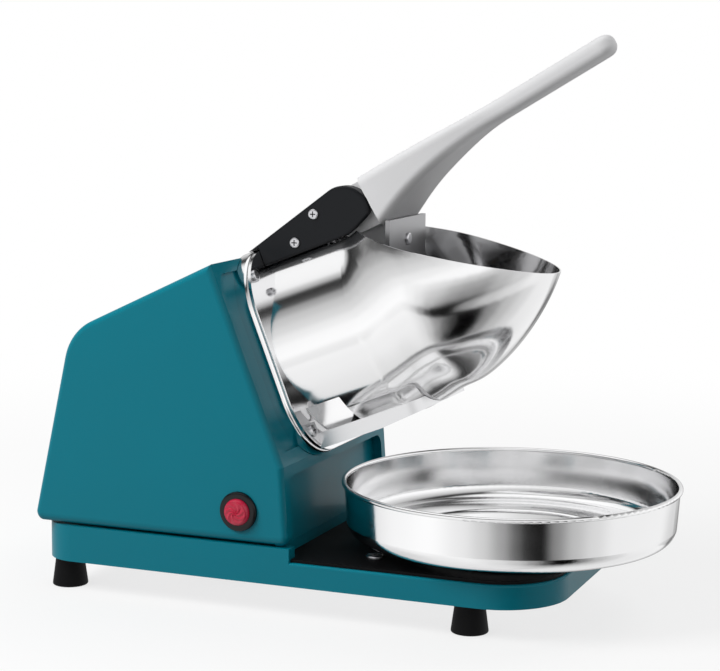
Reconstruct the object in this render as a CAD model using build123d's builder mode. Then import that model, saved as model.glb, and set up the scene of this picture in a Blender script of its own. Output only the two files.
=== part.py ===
"""Electric ice shaver with a press lever, in millimetres.

+X points forward to the bowl, +Y to the left of someone behind the machine, +Z up.
The origin is at floor level, half way along the machine and on its middle plane.

The hopper, collar, cutter and motor share one tilted axis, the drive axis. It leaves
the slanted front of the housing square, so along it "depth" counts from that face
and "rise" is the direction up the face.
"""

from build123d import *
import os
from math import atan2, cos, degrees, radians, sin, sqrt, tan

os.makedirs("parts", exist_ok=True)

# ---------------------------------------------------------------- driving dimensions
overall_length = 412.0
slip_fit = 0.05            # radial clearance of a part that turns or slides in its bore
loose_fit = 0.3            # gap between faces that pass each other
sheet = 2.0                # painted steel of the housing and base

# base
base_rear_inset = 2.0
base_side_inset = 0.5
base_front_x = 148.0
base_rear_corner = 24.0
base_front_corner = 45.0
skirt_bottom_z = 21.2
tray_top_z = 36.5
tray_rim_round = 1.5
mat_thickness = 2.0
mat_margin = 2.5
step_lip = 1.0
platform_margin = 25.0
tray_screw_x = 25.0
tray_screw_y = 60.0
tray_screw_head = 5.5
tray_screw_shank = 2.0
tray_screw_head_height = 1.8
screw_tail = 3.0           # how far a screw comes out behind what it holds
screw_dome = 0.6           # share of a pan head's height that is rounded
bottom_plate_thickness = 1.5
bottom_plate_lift = 1.0
vent_slot_length = 46.0
vent_slot_width = 4.0
vent_slot_pitch = 11.0
vent_slot_count = 6

# feet
foot_top_radius = 9.0
foot_bottom_radius = 12.0
foot_rear_inset = 12.0
foot_front_inset = 56.0
foot_side_inset = 21.0
foot_recess_radius = 6.0
foot_recess_depth = 8.0
foot_screw_radius = 2.0
foot_screw_head = 4.8
foot_screw_head_height = 2.5
foot_edge_round = 1.0

# housing
housing_width = 179.0
housing_bottom_z = 45.3
rear_lean = 12.4
rear_corner_radius = 35.0
rear_bottom_radius = 7.0
top_slope = 25.4
drive_tilt = 21.8
rim_top_z = 223.2
knee_z = 97.0
lower_front_foot_x = -23.0
side_edge_radius = 4.0
face_recess = 1.8
face_margin = 8.0
lower_recess = 7.0
lower_margin = 10.0
knee_band = 7.0
knee_recess_radius = 8.0

# drive axis: where it leaves the slanted face
axis_face_x = -53.7
axis_face_z = 159.5

# collar
collar_half_width = 68.0
collar_half_height = 70.0
collar_corner = 40.0
collar_depth = 10.0
collar_edge_round = 2.5
flange_thickness = 2.0
flange_inset = 1.0
collar_screw_y = 54.0
collar_screw_rise = 53.0
collar_screw_shank = 2.0
collar_screw_head = 4.0
collar_screw_head_height = 2.4
collar_screw_reach = 4.0
bearing_radius = 11.0
bearing_seat = 1.0

# hopper
hopper_wall = 1.5
neck_radius = 65.0
belly_radius = 68.5
belly_rise = 9.6
belly_depth = 112.0
nose_depth = 199.8
nose_power = 1.4
nose_parts = (0.16, 0.32, 0.48, 0.62, 0.74, 0.84, 0.91, 0.96)
swell_start = 70.0
swell_stations = 5
notch_length = 45.0
mouth_slope = 11.0
mouth_tip_depth = 188.9
mouth_tip_rise = -11.5
outlet_start = 14.0
outlet_end = 39.0
outlet_rise = -38.0

# chute guard
guard_half_width = 46.0
guard_sheet = 1.2
guard_top_rise = -56.0
guard_bottom_rise = -66.0
guard_front_depth = 86.0
guard_front_corner = 9.0
guard_tab_rise = 8.0
guard_chamfer_depth = 57.0
guard_chamfer_rise = 2.5

# hinge block
block_half_width = 34.0
cheek_thickness = 9.5
pivot_depth = 76.0
pivot_rise = 71.0
cheek_radius = 18.0
block_rear_depth = 2.5
block_rear_rise = 70.0
block_core_depth = 58.0
pin_radius = 4.0
pin_bore_depth = 7.0
block_foot_rise = 48.0
cheek_edge_round = 2.0
cheek_clearance = 1.2
hinge_screw_top = (57.0, 77.8)
hinge_screw_bottom = (38.0, 65.0)
hinge_screw_head = 3.4
hinge_screw_shank = 1.8
hinge_screw_head_height = 1.6
hinge_screw_reach = 5.0

# lever
lever_raise = 31.0
lever_length = 200.0
lever_top = 16.0
grip_half_width = 9.0
flare_plan = ((19.0, 33.0), (45.0, 30.0), (76.0, 22.0), (100.0, 13.0), (126.0, 9.0))
flare_lower = ((19.0, -19.0), (40.0, -10.0), (76.0, -1.0), (118.0, 2.4))
lever_edge_round = 6.0
root_overlap = 2.0
hub_radius = 15.0
lug_half_width = 10.0
lug_heel = (-7.0, -12.0)
lug_bottom = -39.0
lug_toe_length = 7.0
lug_top = -7.0
press_sheet = 3.0
press_half_width = 33.0
press_front = 29.0
press_top = -3.0
press_drop = 46.0
press_foot_length = 44.0
press_foot_slope = 27.0
press_corner = 10.0
press_rivets = (-17.0, -33.0)
rivet_radius = 2.0
rivet_head = 4.0
rivet_head_height = 1.6
rivet_grip = 6.0

# cutter and drive
disc_radius = 62.0
disc_thickness = 3.0
disc_depth = 39.5
blade_length = 44.0
blade_width = 14.0
blade_thickness = 2.0
blade_slot_width = 6.0
blade_slot_offset = 11.0
blade_offset = 0.0
blade_inner_radius = 13.0
blade_screws = (10.0, 34.0)
blade_screw_shank = 1.6
nut_height = 3.2
shaft_end = 0.8
shoulder_gap = 0.5
shoulder_radius = 9.0
shaft_radius = 5.0
shaft_nut_radius = 10.0
motor_radius = 38.0
motor_length = 78.0
motor_gap = 14.0
motor_nose_radius = 15.0
fan_radius = 30.0
fan_gap = 6.0
fan_blades = 7
fan_thickness = 8.0
fan_hub_radius = 12.0
fan_blade_width = 2.0
motor_edge_round = 5.0

# bowl
bowl_radius = 110.0
bowl_rim_z = 83.0
bowl_wall = 1.2
bowl_foot_radius = 69.0
bowl_foot_height = 7.5
bowl_base_radius = 95.0
bowl_corner = 11.0
bowl_rim_bead = 1.6
bowl_foot_flare = 2.5
bowl_foot_round = 2.5

# power switch
switch_x = -56.5
switch_z = 66.9
bezel_radius = 12.8
bezel_height = 2.6
button_radius = 8.6
button_proud = 3.4
button_travel = 2.5
barrel_radius = 10.2
barrel_depth = 10.0
switch_body_depth = 16.0
button_skirt = 5.5
switch_nut_height = 4.0
terminal_thickness = 0.8
terminal_width = 6.3
terminal_length = 8.0

# cable inlet at the rear
gland_z = 117.0
gland_y = -40.0
gland_radius = 9.0
gland_thread_radius = 6.5
gland_bore = 3.6
gland_length = 12.0
gland_collar_round = 1.5
gland_nut_height = 4.0

# ---------------------------------------------------------------- derived places
housing_rear_x = -overall_length / 2
bowl_x = overall_length / 2 - bowl_radius
mat_top_z = tray_top_z + mat_thickness
half_housing = housing_width / 2
base_width = housing_width - 2 * base_side_inset
plate_z = skirt_bottom_z + bottom_plate_lift

drive_dir = Vector(cos(radians(drive_tilt)), 0, sin(radians(drive_tilt)))
rise_dir = Vector(-sin(radians(drive_tilt)), 0, cos(radians(drive_tilt)))
face_origin = Vector(axis_face_x, 0, axis_face_z)


def drive_point(depth, rise, y=0.0):
    """Point at a depth along the drive axis, a rise up the face and a side offset."""
    return face_origin + drive_dir * depth + rise_dir * rise + Vector(0, y, 0)


def face_plane(depth, rise=0.0, y=0.0):
    """Plane parallel to the slanted face: x runs to +Y, y up the face."""
    return Plane(origin=drive_point(depth, rise, y), x_dir=(0, 1, 0), z_dir=drive_dir)


def side_plane(y=0.0):
    """Plane along the middle plane: x is depth, y is rise, its normal is -Y."""
    return Plane(origin=face_origin + Vector(0, y, 0), x_dir=drive_dir, z_dir=(0, -1, 0))


pivot = drive_point(pivot_depth, pivot_rise)
lever_dir = Vector(cos(radians(lever_raise)), 0, sin(radians(lever_raise)))
lever_up = Vector(-sin(radians(lever_raise)), 0, cos(radians(lever_raise)))


def lever_point(along, up, y=0.0):
    """Point on the lever at rest, measured from its pivot along and across the grip."""
    return pivot + lever_dir * along + lever_up * up + Vector(0, y, 0)


def finish(builder, label):
    """Label a finished piece and write its STEP file."""
    builder.part.label = label
    export_step(builder.part, f"parts/{label}.step")


# ---------------------------------------------------------------- base
def base_outline(inset, rear_x, front_x):
    """Plan of the base: straight sides, rounded corners, larger ones in front."""
    length = front_x - rear_x - 2 * inset
    with BuildSketch() as plan:
        with Locations(((front_x + rear_x) / 2, 0)):
            Rectangle(length, base_width - 2 * inset)
        fillet(plan.vertices().group_by(Axis.X)[0], base_rear_corner - inset)
        fillet(plan.vertices().group_by(Axis.X)[-1], base_front_corner - inset)
    return plan.sketch


base_rear_x = housing_rear_x + base_rear_inset
step_front_x = lower_front_foot_x + step_lip
step_recess_x = lower_front_foot_x - lower_recess
recess_half_width = half_housing - lower_margin


def platform_outline(inset, cheek_x, middle_x):
    """Plan of the raised platform under the housing, set back between its cheeks."""
    with BuildSketch() as plan:
        add(base_outline(inset, base_rear_x, base_front_x))
        with Locations((cheek_x, 0)):
            Rectangle(overall_length, 2 * base_width, align=(Align.MIN, Align.CENTER), mode=Mode.SUBTRACT)
        with Locations((middle_x, 0)):
            Rectangle(
                overall_length, 2 * recess_half_width,
                align=(Align.MIN, Align.CENTER), mode=Mode.SUBTRACT)
    return plan.sketch


with BuildPart() as base_tray:
    with BuildSketch(Plane.XY.offset(skirt_bottom_z)):
        add(base_outline(0, base_rear_x, base_front_x))
    extrude(amount=tray_top_z - skirt_bottom_z)
    tray_rim = base_tray.faces().sort_by(Axis.Z)[-1].edges()
    fillet(tray_rim, tray_rim_round)
    with BuildSketch(Plane.XY.offset(tray_top_z - tray_rim_round)):
        add(platform_outline(0, step_front_x, step_recess_x))
    extrude(amount=housing_bottom_z - tray_top_z + tray_rim_round)
    with BuildSketch(Plane.XY.offset(skirt_bottom_z)):
        add(base_outline(sheet, base_rear_x, base_front_x))
    extrude(amount=tray_top_z - skirt_bottom_z - sheet, mode=Mode.SUBTRACT)
    with BuildSketch(Plane.XY.offset(tray_top_z - sheet)):
        add(platform_outline(sheet, step_recess_x - sheet, step_recess_x - sheet))
    extrude(amount=housing_bottom_z - tray_top_z, mode=Mode.SUBTRACT)
    with BuildSketch(Plane.XY.offset(housing_bottom_z)):
        with Locations(((base_rear_x + step_recess_x) / 2, 0)):
            Rectangle(
                step_recess_x - base_rear_x - 2 * platform_margin,
                base_width - 2 * platform_margin)
    extrude(amount=-sheet, mode=Mode.SUBTRACT)
    with BuildSketch(Plane.XY.offset(tray_top_z)):
        with Locations(*[(tray_screw_x, side * tray_screw_y) for side in (-1, 1)]):
            Circle(tray_screw_shank + slip_fit)
    extrude(amount=-sheet, mode=Mode.SUBTRACT)
finish(base_tray, "base_tray")

foot_rear_x = base_rear_x + foot_rear_inset
foot_front_x = base_front_x - foot_front_inset
foot_y = base_width / 2 - foot_side_inset
foot_places = [(x, y) for x in (foot_rear_x, foot_front_x) for y in (-foot_y, foot_y)]

with BuildPart() as bottom_plate:
    with BuildSketch(Plane.XY.offset(plate_z)):
        add(base_outline(sheet + loose_fit, base_rear_x, base_front_x))
        with Locations(*foot_places):
            Circle(foot_screw_radius, mode=Mode.SUBTRACT)
        with Locations((foot_rear_x / 2, 0)):
            with GridLocations(0, vent_slot_pitch, 1, vent_slot_count):
                SlotOverall(vent_slot_length, vent_slot_width, mode=Mode.SUBTRACT)
    extrude(amount=bottom_plate_thickness)
finish(bottom_plate, "bottom_plate")

for number, (x, y) in enumerate(foot_places, start=1):
    with BuildPart() as foot:
        with BuildSketch(Plane.XZ.offset(-y)):
            with BuildLine():
                Polyline(
                    (x, 0), (x + foot_bottom_radius, 0),
                    (x + foot_top_radius, plate_z), (x, plate_z), close=True)
            make_face()
        revolve(axis=Axis((x, y, 0), (0, 0, 1)))
        with Locations((x, y, 0)):
            Cylinder(
                foot_recess_radius, foot_recess_depth,
                align=(Align.CENTER, Align.CENTER, Align.MIN), mode=Mode.SUBTRACT)
            Cylinder(
                foot_screw_radius, plate_z,
                align=(Align.CENTER, Align.CENTER, Align.MIN), mode=Mode.SUBTRACT)
        fillet(foot.edges().group_by(Axis.Z)[0].sort_by(SortBy.LENGTH)[-1], foot_edge_round)
    finish(foot, f"foot_{number}")

    with BuildPart() as foot_screw:
        with Locations((x, y, foot_recess_depth - foot_screw_head_height)):
            Cylinder(
                foot_screw_head, foot_screw_head_height,
                align=(Align.CENTER, Align.CENTER, Align.MIN))
        with Locations((x, y, foot_recess_depth)):
            Cylinder(
                foot_screw_radius, plate_z + bottom_plate_thickness + screw_tail - foot_recess_depth,
                align=(Align.CENTER, Align.CENTER, Align.MIN))
    finish(foot_screw, f"foot_screw_{number}")

tray_screw_places = [(tray_screw_x, side * tray_screw_y) for side in (-1, 1)]

with BuildPart() as tray_mat:
    with BuildSketch(Plane.XY.offset(tray_top_z)):
        add(base_outline(mat_margin, base_rear_x, base_front_x))
        with Locations((step_front_x + loose_fit, 0)):
            Rectangle(
                overall_length, 2 * base_width,
                align=(Align.MAX, Align.CENTER), mode=Mode.SUBTRACT)
        with Locations((step_recess_x + loose_fit, 0)):
            Rectangle(
                step_front_x - step_recess_x, 2 * (recess_half_width - loose_fit),
                align=(Align.MIN, Align.CENTER))
        with Locations(*tray_screw_places):
            Circle(tray_screw_shank + slip_fit, mode=Mode.SUBTRACT)
    extrude(amount=mat_thickness)
finish(tray_mat, "tray_mat")


def make_screw(label, plane, head_radius, head_height, shank_radius, shank_length):
    """Pan-head screw: the head stands on the plane, the shank runs back behind it."""
    with BuildPart() as screw:
        with BuildSketch(plane):
            Circle(head_radius)
        extrude(amount=head_height)
        fillet(screw.faces().sort_by(Axis(plane.origin, plane.z_dir))[-1].edges(), head_height * screw_dome)
        with BuildSketch(plane):
            Circle(shank_radius)
        extrude(amount=-shank_length)
    finish(screw, label)


for number, (x, y) in enumerate(tray_screw_places, start=1):
    make_screw(
        f"tray_screw_{number}", Plane(origin=(x, y, mat_top_z)), tray_screw_head,
        tray_screw_head_height, tray_screw_shank, mat_thickness + sheet + screw_tail)


# ---------------------------------------------------------------- housing
def meet(point_a, slope_a, point_b, slope_b):
    """Where two lines of the side view meet; each has a point and an angle in degrees."""
    ax, az = cos(radians(slope_a)), sin(radians(slope_a))
    bx, bz = cos(radians(slope_b)), sin(radians(slope_b))
    reach = ((point_b[0] - point_a[0]) * bz - (point_b[1] - point_a[1]) * bx) / (ax * bz - az * bx)
    return (point_a[0] + reach * ax, point_a[1] + reach * az)


rear_slope = 90 - rear_lean
face_slope = 90 + drive_tilt
rear_foot_x = housing_rear_x - rear_bottom_radius * (
    1 / cos(radians(rear_lean)) + tan(radians(rear_lean)) - 1)
rim_origin = drive_point(face_recess, 0)
rim_top = meet((rim_origin.X, rim_origin.Z), face_slope, (0, rim_top_z), 0)
knee = meet((rim_origin.X, rim_origin.Z), face_slope, (0, knee_z), 0)
lower_slope = 90 - degrees(atan2(knee[0] - lower_front_foot_x, knee_z - housing_bottom_z))
lower_foot = (lower_front_foot_x, housing_bottom_z)


def shifted(point, slope, distance):
    """The point moved square to a line of that slope, to the line's right-hand side."""
    return (
        point[0] + distance * sin(radians(slope)), point[1] - distance * cos(radians(slope)))


def housing_profile(inset, face_depth, lower_inset, floor_z):
    """Side view of the housing, set in from its rear and top, face and lower front."""
    rear = shifted((rear_foot_x, housing_bottom_z), rear_slope, inset)
    top = shifted(rim_top, top_slope, inset)
    face_point = drive_point(face_depth, 0)
    face = (face_point.X, face_point.Z)
    lower = shifted(lower_foot, lower_slope, -lower_inset)
    with BuildSketch() as profile:
        with BuildLine():
            Polyline(
                meet(rear, rear_slope, (0, floor_z), 0),
                meet(rear, rear_slope, top, top_slope),
                meet(top, top_slope, face, face_slope),
                meet(face, face_slope, lower, lower_slope),
                meet(lower, lower_slope, (0, floor_z), 0), close=True)
        make_face()
        corners = profile.vertices()
        rear_top = corners.sort_by_distance((rear_foot_x, rim_top_z))[0]
        fillet(rear_top, rear_corner_radius - inset)
    return profile.sketch


def collar_outline(inset):
    """Rounded square of the collar and of the flange that sits on it."""
    with BuildSketch() as outline:
        RectangleRounded(
            2 * (collar_half_width - inset), 2 * (collar_half_height - inset),
            collar_corner - inset)
    return outline.sketch


gland_foot = meet((rear_foot_x, housing_bottom_z), rear_slope, (0, gland_z), 0)
gland_plane = Plane(
    origin=(gland_foot[0], gland_y, gland_z), x_dir=(0, -1, 0),
    z_dir=(-cos(radians(rear_lean)), 0, sin(radians(rear_lean))))
switch_plane = Plane(origin=(switch_x, -half_housing, switch_z), x_dir=(1, 0, 0), z_dir=(0, -1, 0))
collar_screw_places = [
    (side * collar_screw_y, end * collar_screw_rise) for side in (-1, 1) for end in (-1, 1)]

with BuildPart() as lower_pocket:
    with BuildSketch(Plane.XZ):
        with BuildLine():
            back_foot = shifted(lower_foot, lower_slope, -lower_recess)
            back_top = meet(back_foot, lower_slope, (0, knee_z - knee_band), 0)
            Polyline(
                (back_foot[0], back_foot[1]), back_top, (knee[0] + lower_margin, back_top[1]),
                (lower_front_foot_x + lower_margin, back_foot[1]), close=True)
        make_face()
    extrude(amount=recess_half_width, both=True)
    upper_edges = lower_pocket.faces().sort_by(Axis.Z)[-1].edges().filter_by(Axis.X)
    fillet(upper_edges, knee_recess_radius)

with BuildPart() as housing:
    with BuildSketch(Plane.XZ):
        add(housing_profile(0, face_recess, 0, housing_bottom_z))
    extrude(amount=half_housing, both=True)
    side_edges = housing.faces().filter_by(Axis.Y).edges().filter_by(
        lambda edge: edge.center().Z > housing_bottom_z + 0.1)
    fillet(side_edges, side_edge_radius)
    rear_bottom_edge = housing.faces().sort_by(Axis.Z)[0].edges().sort_by(Axis.X)[0]
    fillet(rear_bottom_edge, rear_bottom_radius)
    with BuildSketch(face_plane(0)):
        face_top = (rim_top_z - axis_face_z) / cos(radians(drive_tilt)) - face_margin
        face_bottom = (knee_z - axis_face_z) / cos(radians(drive_tilt)) + face_margin
        with Locations((0, (face_top + face_bottom) / 2)):
            RectangleRounded(
                2 * (half_housing - face_margin), face_top - face_bottom, face_margin)
    extrude(amount=2 * face_recess, mode=Mode.SUBTRACT)
    with BuildSketch(face_plane(0)):
        add(collar_outline(-loose_fit))
    extrude(amount=2 * face_recess, mode=Mode.SUBTRACT)
    add(lower_pocket.part, mode=Mode.SUBTRACT)
    with BuildSketch(Plane.XZ):
        add(housing_profile(sheet, -sheet, lower_recess + sheet, housing_bottom_z))
    extrude(amount=half_housing - sheet, both=True, mode=Mode.SUBTRACT)
    with BuildSketch(face_plane(0)):
        Circle(motor_nose_radius + loose_fit)
        with Locations(*collar_screw_places):
            Circle(collar_screw_shank + slip_fit)
    extrude(amount=-sheet - collar_screw_reach, mode=Mode.SUBTRACT)
    with BuildSketch(switch_plane):
        Circle(barrel_radius + slip_fit)
    extrude(amount=-sheet, mode=Mode.SUBTRACT)
    with BuildSketch(gland_plane):
        Circle(gland_thread_radius + slip_fit)
    extrude(amount=-sheet, mode=Mode.SUBTRACT)
finish(housing, "housing")

for number, (y, rise) in enumerate(collar_screw_places, start=1):
    seat_depth = collar_depth + flange_thickness + (guard_sheet if rise < 0 else 0)
    make_screw(
        f"collar_screw_{number}", face_plane(seat_depth, rise, y), collar_screw_head,
        collar_screw_head_height, collar_screw_shank, seat_depth + sheet + collar_screw_reach)


# ---------------------------------------------------------------- collar and hopper
with BuildPart() as collar:
    with BuildSketch(face_plane(0)):
        add(collar_outline(0))
    extrude(amount=collar_depth)
    fillet(collar.faces().sort_by(Axis(face_origin, drive_dir))[-1].edges(), collar_edge_round)
    with BuildSketch(face_plane(0)):
        Circle(bearing_radius)
        with Locations(*collar_screw_places):
            Circle(collar_screw_shank + slip_fit)
    extrude(amount=collar_depth, mode=Mode.SUBTRACT)
finish(collar, "collar")

with BuildPart() as front_bearing:
    with BuildSketch(face_plane(bearing_seat)):
        Circle(bearing_radius)
        Circle(shaft_radius + slip_fit, mode=Mode.SUBTRACT)
    extrude(amount=collar_depth - 2 * bearing_seat)
finish(front_bearing, "front_bearing")


def belly_share(depth):
    """How far the straight neck has swelled into the belly, from 0 to 1."""
    share = min(max((depth - swell_start) / (belly_depth - swell_start), 0), 1)
    return share * share * (3 - 2 * share)


def hopper_section(depth):
    """Rise and radius of the hopper's round section at a depth along the drive axis."""
    swelled = belly_share(depth)
    radius = neck_radius + swelled * (belly_radius - neck_radius)
    nose_share = max(depth - belly_depth, 0) / (nose_depth - belly_depth)
    radius *= (1 - nose_share ** nose_power) ** (1 / nose_power)
    return swelled * belly_rise, radius


def hopper_body(growth):
    """The hopper's outer shape as a solid, its radius changed by the growth."""
    swelling = [
        swell_start + (belly_depth - swell_start) * part / swell_stations
        for part in range(swell_stations + 1)]
    nose = [belly_depth + (nose_depth - belly_depth) * part for part in nose_parts]
    with BuildPart() as body:
        with BuildSketch(face_plane(collar_depth)):
            Circle(neck_radius + growth)
        extrude(amount=swell_start - collar_depth)
        for depth in swelling + nose:
            rise, radius = hopper_section(depth)
            with BuildSketch(face_plane(depth, rise)):
                Circle(radius + growth)
        loft()
    return body.part


mouth_tip = drive_point(mouth_tip_depth, mouth_tip_rise)
mouth_plane = Plane(
    origin=mouth_tip, z_dir=(sin(radians(mouth_slope)), 0, cos(radians(mouth_slope))))
notch_half_width = flare_plan[0][1] + 2 * loose_fit

with BuildPart() as hopper:
    add(hopper_body(0))
    with BuildSketch(face_plane(collar_depth)):
        add(collar_outline(flange_inset))
    extrude(amount=flange_thickness)
    add(hopper_body(-hopper_wall), mode=Mode.SUBTRACT)
    split(bisect_by=mouth_plane, keep=Keep.BOTTOM)
    with BuildSketch(side_plane()):
        with Locations((outlet_start, outlet_rise)):
            Rectangle(
                outlet_end - outlet_start, collar_half_height,
                align=(Align.MIN, Align.MAX))
    extrude(amount=collar_half_width, both=True, mode=Mode.SUBTRACT)
    with BuildSketch(side_plane()):
        with Locations((block_core_depth + loose_fit, pivot_rise)):
            Rectangle(notch_length, 2 * cheek_radius, align=(Align.MIN, Align.CENTER))
    extrude(amount=notch_half_width, both=True, mode=Mode.SUBTRACT)
    with BuildSketch(face_plane(collar_depth)):
        with Locations(*collar_screw_places):
            Circle(collar_screw_shank + slip_fit)
    extrude(amount=flange_thickness, mode=Mode.SUBTRACT)
finish(hopper, "hopper")

# ---------------------------------------------------------------- chute guard
with BuildPart() as chute_guard:
    guard_floor = Plane(
        origin=drive_point(0, guard_bottom_rise), x_dir=drive_dir, z_dir=rise_dir)
    rear_depth = collar_depth + flange_thickness
    with BuildSketch(guard_floor):
        with Locations((rear_depth, 0)):
            Rectangle(
                guard_front_depth - rear_depth, 2 * guard_half_width,
                align=(Align.MIN, Align.CENTER))
    extrude(amount=guard_top_rise - guard_bottom_rise)
    front_edges = chute_guard.edges().filter_by(Axis(face_origin, rise_dir))
    fillet(front_edges.sort_by(Axis(face_origin, drive_dir))[-2:], guard_front_corner)
    with BuildSketch(guard_floor):
        with Locations((rear_depth, 0)):
            RectangleRounded(
                2 * (guard_front_depth - rear_depth - guard_sheet),
                2 * (guard_half_width - guard_sheet), guard_front_corner - guard_sheet)
    extrude(amount=guard_top_rise - guard_bottom_rise, mode=Mode.SUBTRACT)
    with BuildSketch(face_plane(rear_depth)):
        add(collar_outline(2 * flange_inset))
        Rectangle(
            2 * (guard_half_width - guard_sheet), 3 * collar_half_height, mode=Mode.SUBTRACT)
        with Locations((0, guard_top_rise + guard_tab_rise)):
            Rectangle(
                3 * collar_half_width, 3 * collar_half_height,
                align=(Align.CENTER, Align.MIN), mode=Mode.SUBTRACT)
        with Locations(*collar_screw_places):
            Circle(collar_screw_shank + slip_fit, mode=Mode.SUBTRACT)
    extrude(amount=guard_sheet)
    add(hopper_body(loose_fit), mode=Mode.SUBTRACT)
    with BuildSketch(side_plane()):
        with BuildLine():
            Polyline(
                (guard_chamfer_depth, guard_bottom_rise),
                (guard_front_depth, guard_bottom_rise + guard_chamfer_rise),
                (guard_front_depth, guard_bottom_rise), close=True)
        make_face()
    extrude(amount=guard_half_width, both=True, mode=Mode.SUBTRACT)
finish(chute_guard, "chute_guard")

# ---------------------------------------------------------------- hinge block
core_half_width = block_half_width - cheek_thickness
block_seat_depth = collar_depth + flange_thickness + loose_fit
hinge_screw_places = [hinge_screw_top, hinge_screw_bottom]


def block_outline():
    """Side view of the hinge block: a wedge that ends in the round of the cheeks."""
    reach_depth = pivot_depth - block_rear_depth
    reach_rise = pivot_rise - block_rear_rise
    tangent = degrees(atan2(reach_rise, reach_depth)) + degrees(
        atan2(cheek_radius, sqrt(reach_depth ** 2 + reach_rise ** 2 - cheek_radius ** 2)))
    touch_depth = pivot_depth - cheek_radius * sin(radians(tangent))
    touch_rise = pivot_rise + cheek_radius * cos(radians(tangent))
    with BuildSketch() as outline:
        with BuildLine():
            Polyline(
                (block_rear_depth, block_foot_rise), (block_rear_depth, block_rear_rise),
                (touch_depth, touch_rise), (pivot_depth, pivot_rise),
                (pivot_depth, block_foot_rise), close=True)
        make_face()
        with Locations((pivot_depth, pivot_rise)):
            Circle(cheek_radius)
    return outline.sketch


with BuildPart() as block_seat:
    add(hopper_body(loose_fit))
    with BuildSketch(side_plane()):
        with Locations((block_seat_depth, collar_half_height + loose_fit)):
            Rectangle(
                2 * block_seat_depth, 2 * collar_half_height, align=(Align.MAX, Align.MAX))
    extrude(amount=block_half_width, both=True)


with BuildPart() as hinge_block:
    with BuildSketch(side_plane()):
        add(block_outline())
        with Locations((block_core_depth, 0)):
            Rectangle(
                overall_length, overall_length, align=(Align.MIN, Align.CENTER),
                mode=Mode.SUBTRACT)
    extrude(amount=core_half_width, both=True)
    add(block_seat.part, mode=Mode.SUBTRACT)
    with BuildSketch(side_plane()):
        with Locations(*hinge_screw_places):
            Circle(hinge_screw_shank + slip_fit)
    extrude(amount=core_half_width, both=True, mode=Mode.SUBTRACT)
finish(hinge_block, "hinge_block")

for side, name in ((-1, "near"), (1, "far")):
    inner_face = side_plane(side * core_half_width)
    with BuildPart() as cheek:
        with BuildSketch(inner_face):
            add(block_outline())
        extrude(amount=-side * cheek_thickness)
        add(block_seat.part, mode=Mode.SUBTRACT)
        outer = cheek.faces().sort_by(Axis.Y)[0 if side < 0 else -1]
        fillet(outer.edges().filter_by(lambda edge: edge.length > cheek_radius), cheek_edge_round)
        with BuildSketch(inner_face):
            with Locations((pivot_depth, pivot_rise)):
                Circle(pin_radius + slip_fit)
        extrude(amount=-side * pin_bore_depth, mode=Mode.SUBTRACT)
        with BuildSketch(inner_face):
            with Locations(*hinge_screw_places):
                Circle(hinge_screw_shank + slip_fit)
        extrude(amount=-side * cheek_thickness, mode=Mode.SUBTRACT)
    finish(cheek, f"hinge_cheek_{name}")
    for number, (depth, rise) in enumerate(hinge_screw_places, start=1):
        head_plane = Plane(
            origin=drive_point(depth, rise, side * block_half_width), x_dir=drive_dir,
            z_dir=(0, side, 0))
        make_screw(
            f"hinge_screw_{name}_{number}", head_plane, hinge_screw_head,
            hinge_screw_head_height, hinge_screw_shank, cheek_thickness + hinge_screw_reach)

with BuildPart() as pivot_pin:
    with BuildSketch(side_plane()):
        with Locations((pivot_depth, pivot_rise)):
            Circle(pin_radius)
    extrude(amount=core_half_width + pin_bore_depth - loose_fit, both=True)
finish(pivot_pin, "pivot_pin")

# ---------------------------------------------------------------- lever and press plate
lever_plane = Plane(origin=pivot, x_dir=lever_dir, z_dir=(0, -1, 0))
press_plane = Plane(origin=pivot, x_dir=(1, 0, 0), z_dir=(0, -1, 0))
rivet_plane = Plane(
    origin=pivot + Vector(press_front + press_sheet, 0, 0), x_dir=(0, 1, 0), z_dir=(1, 0, 0))
rivet_places = [(0, height) for height in press_rivets]
hub_half_width = core_half_width - loose_fit
plan_plane = Plane(origin=pivot, x_dir=lever_dir, z_dir=lever_up)
flare_start = flare_plan[0][0]
flare_half_width = flare_plan[0][1]
grip_lower = flare_lower[-1][1]


def is_long_edge(edge):
    """Whether an edge runs along the lever or round its end, clear of its rear face."""
    along = (edge.center() - pivot).dot(lever_dir)
    return along > flare_start + root_overlap and abs(edge.tangent_at(0.5).dot(lever_up)) < 0.9


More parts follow.
